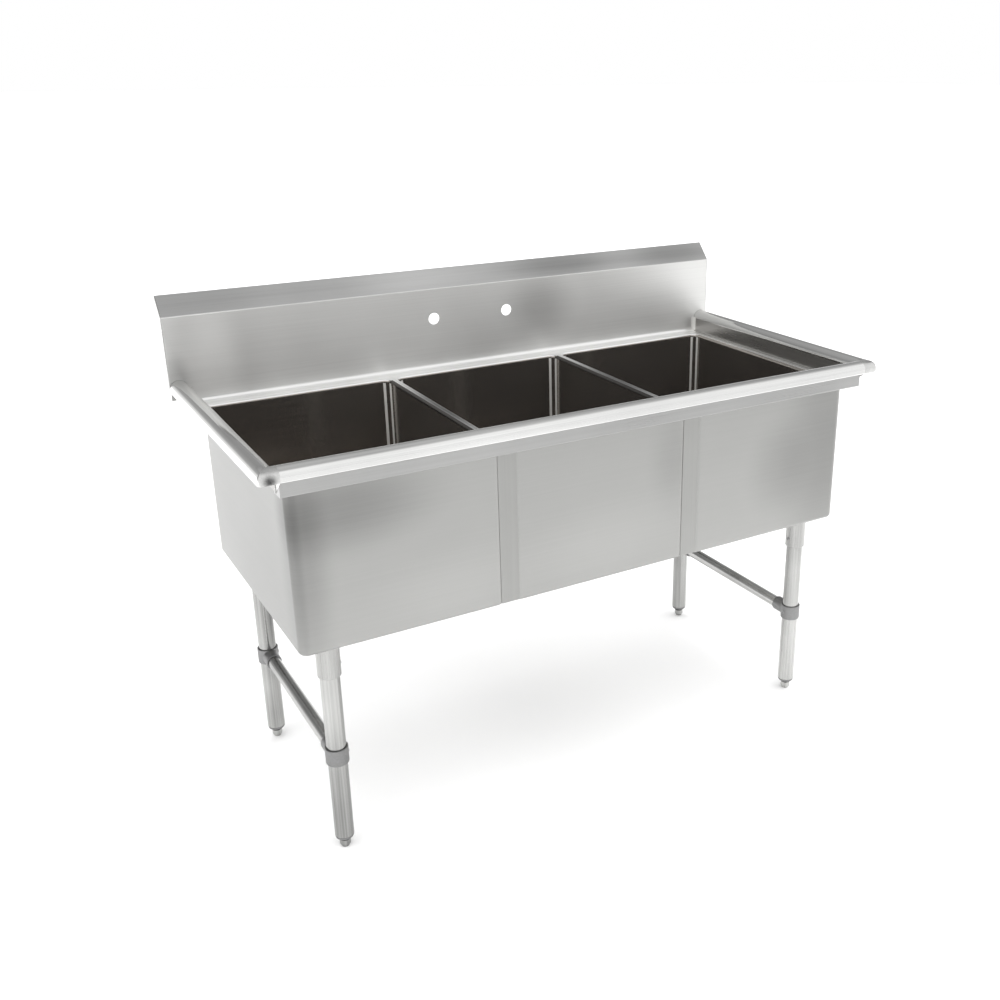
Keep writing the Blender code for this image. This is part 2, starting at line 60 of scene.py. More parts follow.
# --- Dimensions: read from the frame where a node's box gives them --------------------------
TOUCH = 0.0003  # gap between touching CAD pieces
SHEET = 0.0015
SIDES = ("left", "middle", "right")
ENDS = (("left", -1), ("right", 1))
LEG_NAMES = ("front_left", "front_right", "rear_left", "rear_right")

whole_low, whole_high = cad_box
HALF_LENGTH = whole_high.x
FRONT, BACK = whole_low.y, whole_high.y
SPLASH_TOP = whole_high.z

rim_low, rim_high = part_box("rim_front")
RIM_TOP = rim_high.z
DECK_TOP = rim_low.z - TOUCH
ROLL_WIDTH = rim_high.y - rim_low.y
ROLL_RADIUS = ROLL_WIDTH / 2
ROLL_SPRING = RIM_TOP - ROLL_RADIUS  # height of the half round's centre
DECK_FRONT = rim_high.y
DECK_HALF = rim_high.x + TOUCH
ROLL_HEM = 0.006
HEM_BEND = 0.0022
ROLL_STEPS = 28
FOOT_BEND = 0.0035  # bend between the deck and the rim's inner wall
FOOT_FLAT = 0.001
RIM_COVE = 0.009  # upright cove where a side rim meets the splash
CORNER_TIP = 0.008  # rounding of the rim's mitred corners, seen from above
TIP_STEPS = 8
AXIS_GAP = 0.0004
COVE_OVERLAP = 0.001
COVE_RISE = 0.002  # how far the cove runs up under the roll
RIM_BEAD = 0.0011
BEAD_SINK = 0.6  # share of the bead that lies inside the roll
BEAD_END = 18  # degrees short of the roll's outer edge
WALL_TURN = 0.8  # most upward part of the normal of a face on the inner wall

splash_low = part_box("backsplash_panel")[0]
SPLASH_FACE = splash_low.y
COVE_TOP = splash_low.z - TOUCH
COVE = COVE_TOP - DECK_TOP
SPLASH_FOLD = 1.064
SPLASH_RETURN = 0.050
SPLASH_BEND = 0.0022
APEX_RISE = 1.60
SLOPE_TURN = 0.4  # least upward part of the normal of a face on the splash's slope
BACK_TURN = 0.5  # least backward part of the normal of a face on its back
FOLD_BEND = 0.006
ROLL_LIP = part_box("splash_end_left")[0].z
TAP_OFFSET = 0.1016
TAP_RADIUS = 0.0145
TAP_HEIGHT = 0.989
CUT_REACH = 0.010  # how far a cutting shape runs past the sheet
PLATE_EASE = 0.0004

bowl_low, bowl_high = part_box("bowl_middle")
BOWL_WIDTH = bowl_high.x - bowl_low.x
BOWL_DEPTH = bowl_high.y - bowl_low.y
BOWL_FRONT = bowl_low.y
BOWL_MIDDLE_Y = (bowl_low.y + bowl_high.y) / 2
FLOOR_FALL = 0.004
RECESS_DEPTH = 0.0025
BOWL_BOTTOM = bowl_low.z + FLOOR_FALL + RECESS_DEPTH
CORNER_RADIUS = 0.020
FLOOR_RADIUS = 0.010
FLAT_BAND = 0.112
CORNER_STEPS = 9
FLOOR_STEPS = 7
HIGHLIGHT_STEPS = (1, 2, 6, 7)  # upright strips of each bowl's inside corner that carry a painted highlight
LIP_SIDE = 0.0100  # the deck's roll into each bowl: across the sides, across the ends, down
LIP_END = 0.0050
LIP_DROP = 0.0085
LIP_DEPTH = 0.009
LIP_STEPS = 8
SIDE_BRIGHT = 2  # steps of the roll in the deck's finish along a bowl's sides
END_BRIGHT = 5  # and along its ends
DIVIDER_REACH = 0.26  # x within which a bowl's side is the side of a divider
RECESS_RADIUS = 0.060
DRAIN_HOLE = 0.0445
RECESS_TOP = BOWL_BOTTOM + SHEET - FLOOR_FALL - RECESS_DEPTH
SEAM_BEAD = 0.0013
SEAM_EDGE = 0.0009
RECESS_SLOPE = 0.004  # width of the step down into the drain recess
SMALL_CORNER = 0.003

CHANNEL_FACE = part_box("rim_front_channel")[0].y
CHANNEL_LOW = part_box("rim_front_channel")[0].z
CHANNEL_BEND = 0.003


def middle_of(node):
    low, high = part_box(node)
    return (low + high) / 2


# --- Materials ----------------------------------------------------------------------------
GRAIN_DEPTH = 0.0004


def node_of(tree, kind, **settings):
    made = tree.nodes.new("ShaderNode" + kind)
    for name, value in settings.items():
        setattr(made, name, value)
    return made


def noise(tree, where, stretch, detail, roughness=0.55):
    """Noise over the object's own metres, with its own scale along each axis."""
    mapping = node_of(tree, "Mapping")
    mapping.inputs["Scale"].default_value = stretch
    tree.links.new(where, mapping.inputs["Vector"])
    made = node_of(tree, "TexNoise")
    made.inputs["Scale"].default_value = 1.0
    made.inputs["Detail"].default_value = detail
    made.inputs["Roughness"].default_value = roughness
    tree.links.new(mapping.outputs["Vector"], made.inputs["Vector"])
    return made.outputs["Fac"]


def remap(tree, value, low, high, to_low, to_high):
    made = node_of(tree, "MapRange", interpolation_type="SMOOTHSTEP")
    numbers = {"From Min": low, "From Max": high, "To Min": to_low, "To Max": to_high}
    for name, number in numbers.items():
        made.inputs[name].default_value = number
    tree.links.new(value, made.inputs["Value"])
    return made.outputs["Result"]


def total(tree, values):
    result = values[0]
    for value in values[1:]:
        made = node_of(tree, "Math", operation="ADD")
        tree.links.new(result, made.inputs[0])
        tree.links.new(value, made.inputs[1])
        result = made.outputs[0]
    return result


def shaded(tree, colour, shade):
    """The colour times a grey value between 0 and 2."""
    made = node_of(tree, "VectorMath", operation="SCALE")
    made.inputs[0].default_value = colour
    tree.links.new(shade, made.inputs["Scale"])
    return made.outputs["Vector"]


def painted_light_spot(tree, where, centre, size, strength):
    """A soft oval patch of painted light: a painted highlight where the strength is above zero,
    painted shade where it is below.
    """
    mapping = node_of(tree, "Mapping", vector_type="TEXTURE")
    mapping.inputs["Location"].default_value = centre
    mapping.inputs["Scale"].default_value = size
    tree.links.new(where, mapping.inputs["Vector"])
    reach = node_of(tree, "VectorMath", operation="LENGTH")
    tree.links.new(mapping.outputs["Vector"], reach.inputs[0])
    return remap(tree, reach.outputs["Value"], 0.1, 1.0, strength, 0.0)


def metal(
    name, colour, roughness, grain, shade=0.05, spread=0.08, bump=0.02, cloud=(2.2, 2.2, 2.2),
    wave=0.0, anisotropy=0.0, turn=0.0, metallic=1.0, painted_light_spots=(),
):
    """Worked metal: grain is the brush's noise scale per axis, cloud the scale of soft patches, and
    the spots are painted highlights and painted shade.
    """
    made = bpy.data.materials.new(name)
    made.use_nodes = True
    tree = made.node_tree
    shader = tree.nodes["Principled BSDF"]
    shader.inputs["Metallic"].default_value = metallic
    shader.inputs["Anisotropic"].default_value = anisotropy
    shader.inputs["Anisotropic Rotation"].default_value = turn
    where = node_of(tree, "TexCoord").outputs["Object"]
    brush = noise(tree, where, grain, 4.0)
    streak = noise(tree, where, [g / 4 for g in grain], 2.0)
    patch = noise(tree, where, cloud, 3.0)
    tone = total(
        tree,
        [
            remap(tree, brush, 0.25, 0.75, 1 - shade, 1 + shade * 0.3),
            remap(tree, streak, 0.3, 0.7, -shade * 0.4, shade * 0.4),
            remap(tree, patch, 0.3, 0.7, -shade * 1.5, shade),
        ]
        + [painted_light_spot(tree, where, *spot) for spot in painted_light_spots],
    )
    tree.links.new(shaded(tree, colour, tone), shader.inputs["Base Color"])
    rough = total(
        tree,
        [
            remap(tree, brush, 0.25, 0.75, roughness - spread * 0.5, roughness + spread * 0.5),
            remap(tree, patch, 0.3, 0.7, -spread * 0.5, spread * 0.7),
        ],
    )
    tree.links.new(rough, shader.inputs["Roughness"])
    fine = node_of(tree, "Bump")
    fine.inputs["Strength"].default_value = bump
    fine.inputs["Distance"].default_value = GRAIN_DEPTH
    tree.links.new(total(tree, [brush, streak]), fine.inputs["Height"])
    if wave:
        dents = node_of(tree, "Bump")
        dents.inputs["Strength"].default_value = 1.0
        dents.inputs["Distance"].default_value = wave
        tree.links.new(noise(tree, where, [c * 1.3 for c in cloud], 1.0), dents.inputs["Height"])
        tree.links.new(dents.outputs["Normal"], fine.inputs["Normal"])
    tree.links.new(fine.outputs["Normal"], shader.inputs["Normal"])
    return made


ALONG_X = (3, 700, 700)
ALONG_Y = (700, 3, 700)
ALONG_Z = (500, 500, 2.5)
LEVEL = (3, 3, 700)
ACROSS = 0.25  # quarter turn of the anisotropy: reflections smear across the grain
# Painted highlights (strength above zero) and painted shade (below) on the splash's face, standing
# in for reflections.
SPLASH_PAINTED_LIGHT = (  # centre, size, strength
    ((-0.645, 0.325, 0.95), (0.085, 0.5, 0.19), 0.24),
    ((-0.735, 0.325, 0.91), (0.05, 0.5, 0.09), -0.34),
    ((0.20, 0.325, 0.985), (0.14, 0.5, 0.12), -0.26),
    ((0.60, 0.325, 0.94), (0.20, 0.5, 0.09), -0.12),
)
# Painted highlight and painted shade along the splash's slope.
SLOPE_PAINTED_LIGHT = (
    ((-0.14, 0.350, 1.09), (0.24, 0.5, 0.05), 0.20),
    ((0.28, 0.350, 1.09), (0.24, 0.5, 0.05), -0.36),
    ((0.64, 0.350, 1.09), (0.24, 0.5, 0.05), -0.32),
)
# Painted shade and a little painted highlight on the bowls' front panels and left side, standing in
# for reflections.
BODY_PAINTED_LIGHT = (
    ((-0.60, -0.317, 0.80), (0.28, 0.1, 0.12), -0.30),
    ((-0.36, -0.317, 0.58), (0.24, 0.1, 0.12), 0.06),
    ((0.19, -0.317, 0.76), (0.09, 0.1, 0.16), -0.12),
    ((0.50, -0.317, 0.68), (0.12, 0.1, 0.16), -0.14),
    ((0.66, -0.317, 0.70), (0.20, 0.1, 0.40), -0.26),
    ((0.00, -0.317, 0.60), (0.26, 0.1, 0.12), 0.08),
    ((-0.6915, 0.0, 0.70), (0.03, 0.8, 0.6), -0.28),
    ((-0.67, -0.317, 0.70), (0.07, 0.1, 0.34), -0.22),
)
RIDGE_SHADE_SIZE = (0.015, 0.34, 0.05)  # size of the painted shade along the ridges between bowls, darker than the deck
# Painted shade on the deck over the ridges between the bowls.
DECK_PAINTED_SHADE = (
    ((-0.2335, BOWL_MIDDLE_Y, DECK_TOP), RIDGE_SHADE_SIZE, -0.86),
    ((0.2335, BOWL_MIDDLE_Y, DECK_TOP), RIDGE_SHADE_SIZE, -0.86),
)
# Painted shade: a dark patch on the rim's front left corner, standing in for a dark reflection.
CORNER_PAINTED_SHADE = (((-HALF_LENGTH + 0.022, FRONT, ROLL_LIP + 0.007), (0.019, 0.02, 0.017), -0.85),)

splash_steel = metal(
    "splash_brushed", (0.82, 0.82, 0.805), 0.46, ALONG_X, shade=0.03, bump=0.01, wave=0.003,
    anisotropy=0.7, turn=ACROSS, metallic=0.9, painted_light_spots=SPLASH_PAINTED_LIGHT,
)
# The slope is the splash sheet again in a darker colour: painted shade on the faces that point up,
# with its painted spots.
slope_painted_shade_steel = metal(
    "slope_brushed_painted_shade", (0.58, 0.58, 0.575), 0.40, ALONG_X, shade=0.04, bump=0.01, wave=0.003,
    anisotropy=0.7, turn=ACROSS, painted_light_spots=SLOPE_PAINTED_LIGHT,
)
# The splash's back is the same sheet in a darker colour: painted shade.
back_painted_shade_steel = metal("splash_back_painted_shade", (0.46, 0.46, 0.455), 0.42, ALONG_X, shade=0.03, bump=0.01)
deck_steel = metal(
    "deck_brushed", (0.95, 0.95, 0.94), 0.34, ALONG_X, anisotropy=0.5, turn=ACROSS, metallic=0.9,
    painted_light_spots=DECK_PAINTED_SHADE,
)
trim_steel = metal("trim_brushed", (0.44, 0.44, 0.435), 0.32, ALONG_X, anisotropy=0.5, turn=ACROSS)
bowl_outside = metal(
    "bowl_outside_brushed", (0.42, 0.42, 0.41), 0.36, LEVEL, shade=0.02, spread=0.03, bump=0.007,
    wave=0.003, anisotropy=0.7, turn=ACROSS, painted_light_spots=BODY_PAINTED_LIGHT,
)
seam_steel = metal(
    "seam_cover_brushed", (0.385, 0.385, 0.375), 0.38, ALONG_Z, shade=0.03, spread=0.03, bump=0.007,
    anisotropy=0.5, turn=ACROSS,
)
bowl_inside = metal(
    "bowl_inside_satin", (0.46, 0.43, 0.40), 0.15, LEVEL, spread=0.05, metallic=0.94
)
# Near-black: painted shade on the deck's rolled lips beside the dividers.
painted_ridge_shade = metal("ridge_painted_shade", (0.11, 0.105, 0.10), 0.30, ALONG_Y)
# Bright and partly diffuse: a painted highlight on the upright strips of the bowls' inside corners
# and on the rim coves.
cove_highlight_steel = metal(
    "cove_painted_highlight", (0.88, 0.87, 0.84), 0.45, ALONG_Z, shade=0.12, metallic=0.45
)
end_plate = metal("end_plate_brushed", (0.62, 0.62, 0.61), 0.28, ALONG_Y)
rim_x = metal("rim_polished_along_x", (0.84, 0.84, 0.83), 0.13, ALONG_X, spread=0.04)
rim_y = metal("rim_polished_along_y", (0.77, 0.77, 0.76), 0.09, ALONG_Y, spread=0.04)
rim_wall = metal("rim_wall_satin", (0.40, 0.39, 0.375), 0.30, LEVEL, spread=0.05, metallic=0.85)
# The rim corners' ground weld finish, with painted shade from the dark corner patch.
ground_weld_and_shade = metal(
    "corner_ground_weld_painted_shade", (0.70, 0.70, 0.69), 0.34, (700, 700, 700), shade=0.10, bump=0.10,
    painted_light_spots=CORNER_PAINTED_SHADE,
)
weld = metal("weld_bead", (0.50, 0.50, 0.49), 0.34, (900, 900, 900), shade=0.2, bump=0.2)
tube_z = metal("tube_polished_along_z", (0.47, 0.47, 0.46), 0.22, (220, 220, 1.5), shade=0.24)
tube_y = metal("tube_polished_along_y", (0.52, 0.52, 0.51), 0.22, (220, 1.5, 220), shade=0.24)
socket_steel = metal("socket_satin", (0.46, 0.46, 0.45), 0.28, (220, 220, 3), shade=0.16)
cast = metal("collar_cast", (0.28, 0.28, 0.28), 0.42, (600, 600, 600), shade=0.1, bump=0.10)
turned = metal("drain_turned", (0.62, 0.62, 0.61), 0.24, LEVEL, shade=0.10)
screw_steel = metal("screw_steel", (0.40, 0.40, 0.405), 0.38, (900, 900, 900), shade=0.25)
brass = metal("nut_brass", (0.62, 0.47, 0.25), 0.32, LEVEL, shade=0.16)
rubber = metal("rubber_matt", (0.028, 0.028, 0.028), 0.62, (700, 700, 700), bump=0.3, metallic=0.0)


# --- Shape helpers ------------------------------------------------------------------------
def finished(piece, body, slot, *nodes):
    """Hangs a piece on its body and hides the CAD nodes that it stands for."""
    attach(piece, body)
    if nodes:
        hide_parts(*nodes)
    return piece


def new_object(name, bm, finishes, sharp=38):
    bmesh.ops.remove_doubles(bm, verts=bm.verts, dist=1e-6)
    bmesh.ops.dissolve_degenerate(bm, edges=bm.edges, dist=1e-6)
    loose = [edge for edge in bm.edges if not edge.link_faces]
    bmesh.ops.delete(bm, geom=loose, context="EDGES")
    bmesh.ops.recalc_face_normals(bm, faces=bm.faces)
    mesh = bpy.data.meshes.new(name)
    bm.to_mesh(mesh)
    bm.free()
    for finish in finishes if isinstance(finishes, tuple) else (finishes,):
        mesh.materials.append(finish)
    made = bpy.data.objects.new(name, mesh)
    bpy.context.collection.objects.link(made)
    smooth(made, sharp)
    return made


def smooth(made, sharp=38):
    """Smooth shading that keeps flat faces flat beside their bends."""
    made.data.shade_smooth()
    made.data.set_sharp_from_angle(angle=radians(sharp))
    weighted = made.modifiers.new("Flat faces", "WEIGHTED_NORMAL")
    weighted.keep_sharp = True
    weighted.weight = 100


def rounded(made, width, segments=2, angle=40):
    """A small bevel on the edges that a hand would feel."""
    modifier = made.modifiers.new("Eased edges", "BEVEL")
    modifier.width = width
    modifier.segments = segments
    modifier.limit_method = "ANGLE"
    modifier.angle_limit = radians(angle)
    made.modifiers.move(len(made.modifiers) - 1, 0)
    return made


def prism(name, points, travel, finishes, sharp=38):
    """The flat outline of 3D points, pulled along the vector travel."""
    bm = bmesh.new()
    face = bm.faces.new([bm.verts.new(point) for point in points])
    pulled = bmesh.ops.extrude_face_region(bm, geom=[face])
    moved = [item for item in pulled["geom"] if isinstance(item, bmesh.types.BMVert)]
    bmesh.ops.translate(bm, verts=moved, vec=travel)
    return new_object(name, bm, finishes, sharp)


def lofted(name, rings, finishes, sharp=38):
    """A skin over matching closed outlines, capped at both ends."""
    bm = bmesh.new()
    placed = [[bm.verts.new(point) for point in ring] for ring in rings]
    count = len(placed[0])
    for near, far in zip(placed, placed[1:]):
        for index in range(count):
            after = (index + 1) % count
            bm.faces.new((near[index], near[after], far[after], far[index]))
    bmesh.ops.triangulate(bm, faces=[bm.faces.new(placed[0][::-1]), bm.faces.new(placed[-1])])
    return new_object(name, bm, finishes, sharp)


def painted(piece, slot, chosen):
    """Gives the faces that the test picks the piece's material in that slot."""
    for face in piece.data.polygons:
        if chosen(face):
            face.material_index = slot
    return piece


def spun(name, outline, steps, finishes, spot=(0, 0, 0), angle=2 * pi, start=0.0, sharp=38):
    """Spins a closed outline of (radius, height) points about a vertical axis through spot."""
    bm = bmesh.new()
    axis = Vector(spot)
    ray = Vector((cos(start), sin(start), 0))
    face = bm.faces.new([bm.verts.new(axis + ray * r + Vector((0, 0, z))) for r, z in outline])
    full = angle >= 2 * pi
    geometry = list(face.verts) + list(face.edges) + ([] if full else [face])
    if full:
        bm.faces.remove(face)
    bmesh.ops.spin(
        bm, geom=geometry, cent=axis, axis=(0, 0, 1), angle=angle, steps=steps, use_merge=full
    )
    return new_object(name, bm, finishes, sharp)


def rod(name, radius, start, end, steps, finish):
    bm = bmesh.new()
    way = Vector(end) - Vector(start)
    turn = way.to_track_quat("Z", "Y").to_matrix().to_4x4()
    spot = Matrix.Translation((Vector(start) + Vector(end)) / 2) @ turn
    bmesh.ops.create_cone(
        bm, cap_ends=True, segments=steps, radius1=radius, radius2=radius, depth=way.length,
        matrix=spot,
    )
    return new_object(name, bm, finish)


def applied(piece):
    """Bakes a piece's modifiers into its mesh."""
    graph = bpy.context.evaluated_depsgraph_get()
    mesh = bpy.data.meshes.new_from_object(piece.evaluated_get(graph))
    piece.modifiers.clear()
    piece.data = mesh
    return piece


def combine(target, other, operation):
    """Joins other to target, or cuts it away, and leaves only target."""
    for piece in (target, other):
        piece.modifiers.clear()
    modifier = target.modifiers.new(operation.title(), "BOOLEAN")
    modifier.operation = operation
    modifier.object = other
    applied(target)
    bpy.data.objects.remove(other)
    smooth(target)
    return target


def arc(centre, radius, start, end, steps):
    """Points on an arc, in degrees, from start to end."""
    angles = [radians(start + (end - start) * index / steps) for index in range(steps + 1)]
    return [(centre[0] + radius * cos(a), centre[1] + radius * sin(a)) for a in angles]


def bent_path(corners, bends, steps=5):
    """A path of 2D corners whose inner corners are rounded to one bend radius each."""
    points = [Vector(corners[0])]
    for before, corner, after, bend in zip(corners, corners[1:], corners[2:], bends):
        here = Vector(corner)
        back, ahead = (Vector(before) - here).normalized(), (Vector(after) - here).normalized()
        half = back.angle(ahead) / 2
        reach = bend * cos(half) / sin(half)
        start, end = here + back * reach, here + ahead * reach
        centre = here + (back + ahead).normalized() * bend / sin(half)
        for index in range(steps + 1):
            share = index / steps
            way = (start - centre).slerp(end - centre, share)
            points.append(centre + way.normalized() * bend)
    points.append(Vector(corners[-1]))
    return [tuple(point) for point in points]


def bent_sheet(path, thickness):
    """The outline of a sheet that follows a path of 2D points, with its thickness on the right."""
    points = [Vector(point) for point in path]
    last = len(points) - 1
    inside = []
    for index, point in enumerate(points):
        ahead = (points[min(index + 1, last)] - points[min(index, last - 1)]).normalized()
        behind = (points[max(index, 1)] - points[max(index - 1, 0)]).normalized()
        normal = (Vector((ahead.y, -ahead.x)) + Vector((behind.y, -behind.x))).normalized()
        reach = thickness / normal.dot(Vector((ahead.y, -ahead.x)))
        inside.append(point + normal * reach)
    return [tuple(point) for point in points + inside[::-1]]


def rounded_loop(centre, width, depth, radius, z):
    """A rounded rectangle, anticlockwise from above."""
    points = []
    for quarter, (side_x, side_y) in enumerate(((1, 1), (-1, 1), (-1, -1), (1, -1))):
        spot = (
            centre[0] + side_x * (width / 2 - radius),
            centre[1] + side_y * (depth / 2 - radius),
        )
        turned = arc(spot, radius, 90 * quarter, 90 * quarter + 90, CORNER_STEPS)
        points += [(x, y, z) for x, y in turned]
    return points


def circle_loop(centre, radius, z):
    """A circle with as many points as a rounded rectangle."""
    count = 4 * (CORNER_STEPS + 1)
    angles = [2 * pi * (index + 0.5) / count for index in range(count)]
    return [(centre[0] + radius * cos(a), centre[1] + radius * sin(a), z) for a in angles]


def torus(name, spot, radius, thick, finish, steps=48):
    """A bead of weld round a vertical tube."""
    outline = arc((radius, 0), thick, 0, 360, 10)[:-1]
    return spun(name, outline, steps, finish, spot)


# --- Deck and bowls -----------------------------------------------------------------------
def lip_loops(centre):
    """Loops that roll the deck's edge down into a bowl."""
    inner_width, inner_depth = BOWL_WIDTH - 2 * SHEET, BOWL_DEPTH - 2 * SHEET
    loops = []
    for share, drop in arc((1, -1), 1, 90, 180, LIP_STEPS):
        corner = CORNER_RADIUS - SHEET + LIP_SIDE * share
        size = (inner_width + 2 * LIP_SIDE * share, inner_depth + 2 * LIP_END * share)
        loops.append(rounded_loop(centre, *size, corner, DECK_TOP + LIP_DROP * drop))
    last = (inner_width, inner_depth, CORNER_RADIUS - SHEET, DECK_TOP - LIP_DEPTH)
    loops.append(rounded_loop(centre, *last))
    return loops


def closed_edges(bm, verts):
    return [bm.edges.new((verts[i], verts[(i + 1) % len(verts)])) for i in range(len(verts))]


def make_deck(centres):
    """The deck is one sheet: three mouths that roll down, and a cove up to the backsplash."""
    bm = bmesh.new()
    half = DECK_HALF - FOOT_BEND - FOOT_FLAT
    near = DECK_FRONT + FOOT_BEND + FOOT_FLAT
    far = SPLASH_FACE - COVE
    corners = ((-half, near), (half, near), (half, far), (-half, far))
    rim = [bm.verts.new((x, y, DECK_TOP)) for x, y in corners]
    edges = closed_edges(bm, rim)
    for centre in centres:
        rings = [[bm.verts.new(point) for point in loop] for loop in lip_loops(centre)]
        edges += closed_edges(bm, rings[0])
        count = len(rings[0])
        for level, (upper, lower) in enumerate(zip(rings, rings[1:])):
            for index in range(count):
                after = (index + 1) % count
                face = bm.faces.new((upper[index], lower[index], lower[after], upper[after]))
                quarter, step = divmod(index, CORNER_STEPS + 1)
                turn = 90 * (quarter + min((step + 0.5) / CORNER_STEPS, 1))
                steep = abs(sin(radians(turn)))
                # The lips along the dividers take the near-black material: painted shade.
                divider = steep < 0.5 and abs(upper[index].co.x) < DIVIDER_REACH
                if level >= SIDE_BRIGHT + (END_BRIGHT - SIDE_BRIGHT) * steep:
                    face.material_index = 2 if divider else 1
    bmesh.ops.triangle_fill(bm, use_beauty=True, use_dissolve=False, edges=edges, normal=(0, 0, 1))
    row = [rim[3], rim[2]]
    for y, z in arc((far, DECK_TOP + COVE), COVE, -90, 0, 8)[1:]:
        fresh = [bm.verts.new((side * half, y, z)) for side in (-1, 1)]
        bm.faces.new((row[0], row[1], fresh[1], fresh[0]))
        row = fresh
    bmesh.ops.recalc_face_normals(bm, faces=bm.faces)
    top = max(bm.faces, key=lambda face: face.calc_area())
    if top.normal.z < 0:
        bmesh.ops.reverse_faces(bm, faces=bm.faces)
    bmesh.ops.solidify(bm, geom=bm.faces[:], thickness=SHEET)
    piece = new_object("deck_sheet_formed", bm, (deck_steel, bowl_inside, painted_ridge_shade))
    finished(piece, "sink_frame", "brushed_sheet", "deck_sheet")


def bowl_loops(centre, inset, lift):
    width, depth = BOWL_WIDTH - 2 * inset, BOWL_DEPTH - 2 * inset
    corner, floor = CORNER_RADIUS - inset, FLOOR_RADIUS - inset
    bottom = BOWL_BOTTOM + lift
    top = DECK_TOP - LIP_DEPTH - TOUCH / 3
    loops = [rounded_loop(centre, width, depth, corner, top)]
    for across, down in arc((0, 0), floor, 0, -90, FLOOR_STEPS):
        pull = floor - across
        size = (width - 2 * pull, depth - 2 * pull)
        turn = max(corner - pull, SMALL_CORNER)
        loops.append(rounded_loop(centre, *size, turn, bottom + floor + down))
    inner = (BOWL_WIDTH - 2 * FLAT_BAND, BOWL_DEPTH - 2 * FLAT_BAND)
    loops.append(rounded_loop(centre, *inner, CORNER_RADIUS, bottom))
    dish = bottom - FLOOR_FALL
    loops.append(circle_loop(centre, RECESS_RADIUS + RECESS_SLOPE, dish))
    loops.append(circle_loop(centre, RECESS_RADIUS, dish - RECESS_DEPTH))
    loops.append(circle_loop(centre, DRAIN_HOLE, dish - RECESS_DEPTH))
    return loops


def make_bowl(side, centre):
    outside = bowl_loops(centre, 0, 0)
    inside = bowl_loops(centre, SHEET, SHEET)
    loops = outside + inside[::-1]
    bm = bmesh.new()
    rings = [[bm.verts.new(point) for point in loop] for loop in loops]
    count = len(rings[0])
    for level, (lower, upper) in enumerate(zip(rings, rings[1:] + rings[:1])):
        for index in range(count):
            after = (index + 1) % count
            face = bm.faces.new((lower[index], lower[after], upper[after], upper[index]))
            face.material_index = int(level >= len(outside))
            # Painted highlight: bright upright strips in each inside corner.
            if level == len(rings) - 2 and index % (CORNER_STEPS + 1) in HIGHLIGHT_STEPS:
                face.material_index = 2
    piece = new_object(f"bowl_{side}_formed", bm, (bowl_outside, bowl_inside, cove_highlight_steel))
    finished(piece, "sink_frame", "brushed_sheet", f"bowl_{side}")


# --- Rim ----------------------------------------------------------------------------------
def roll_path():
    """(outwards, height) of the rim: off the deck, up the inner wall, over, down, and a hem."""
    path = [(-FOOT_BEND - FOOT_FLAT, DECK_TOP)]
    path += arc((-FOOT_BEND, DECK_TOP + FOOT_BEND), FOOT_BEND, -90, 0, 6)
    path += arc((ROLL_RADIUS, ROLL_SPRING), ROLL_RADIUS, 180, 0, ROLL_STEPS)
    path += arc((ROLL_WIDTH - HEM_BEND, ROLL_LIP + HEM_BEND), HEM_BEND, 0, -90, 4)
    path.append((ROLL_WIDTH - ROLL_HEM, ROLL_LIP))
    return path


def is_inner_wall(face, out):
    """The upright between the deck and the roll, which is left unpolished."""
    return abs(face.normal.z) < WALL_TURN and face.center.z < ROLL_SPRING and out < ROLL_RADIUS


def make_rim():
    section = bent_sheet(roll_path(), SHEET)
    ends = [DECK_HALF + min(out, 0) for out, _ in section]
    rings = []
    for side in (-1, 1):
        rings.append([(side * end, DECK_FRONT - out, z) for end, (out, z) in zip(ends, section)])
    front = lofted("rim_front_rolled", rings, (rim_x, rim_wall))
    painted(front, 1, lambda face: is_inner_wall(face, DECK_FRONT - face.center.y))
    finished(front, "sink_frame", "polished_rim", "rim_front")
    for side, sign in ENDS:
        near = [(sign * (DECK_HALF + out), DECK_FRONT - min(out, 0), z) for out, z in section]
        far = [(x, SPLASH_FACE - TOUCH, z) for x, _, z in near]
        edge = lofted(f"rim_{side}_rolled", (near, far), (rim_y, rim_wall))
        painted(edge, 1, lambda face: is_inner_wall(face, abs(face.center.x) - DECK_HALF))
        finished(edge, "sink_frame", "polished_rim", f"rim_{side}")
        make_rim_corner(side, sign)
        make_rim_weld(side, sign)


def make_rim_corner(side, sign):
    """The mitred corner of two rims: the same section, led round a rounded square."""
    path = [(AXIS_GAP, DECK_TOP + TOUCH)] + [p for p in roll_path() if p[0] > -1e-6][1:]
    path = [(max(out, AXIS_GAP), z) for out, z in path]
    section = [(max(out, AXIS_GAP), z) for out, z in bent_sheet(path, SHEET)]
    square = ROLL_WIDTH - CORNER_TIP
    flat = [[(out, 0, z) for out, z in section]]
    for across, along in arc((0, 0), 1, 0, 90, TIP_STEPS):
        ring = []
        for out, z in section:
            edge, bulge = min(out, square), max(out - square, 0)
            ring.append((edge + bulge * across, edge + bulge * along, z))
        flat.append(ring)
    flat.append([(0, out, z) for out, z in section])
    rings = []
    for ring in flat:
        rings.append([(sign * (DECK_HALF + u), DECK_FRONT - v, z) for u, v, z in ring])
    corner = lofted(f"rim_corner_{side}_mitred", rings, (rim_y, ground_weld_and_shade))
    painted(corner, 1, lambda face: DECK_FRONT - face.center.y > abs(face.center.x) - DECK_HALF)
    finished(corner, "sink_frame", "polished_rim", f"rim_corner_{side}")


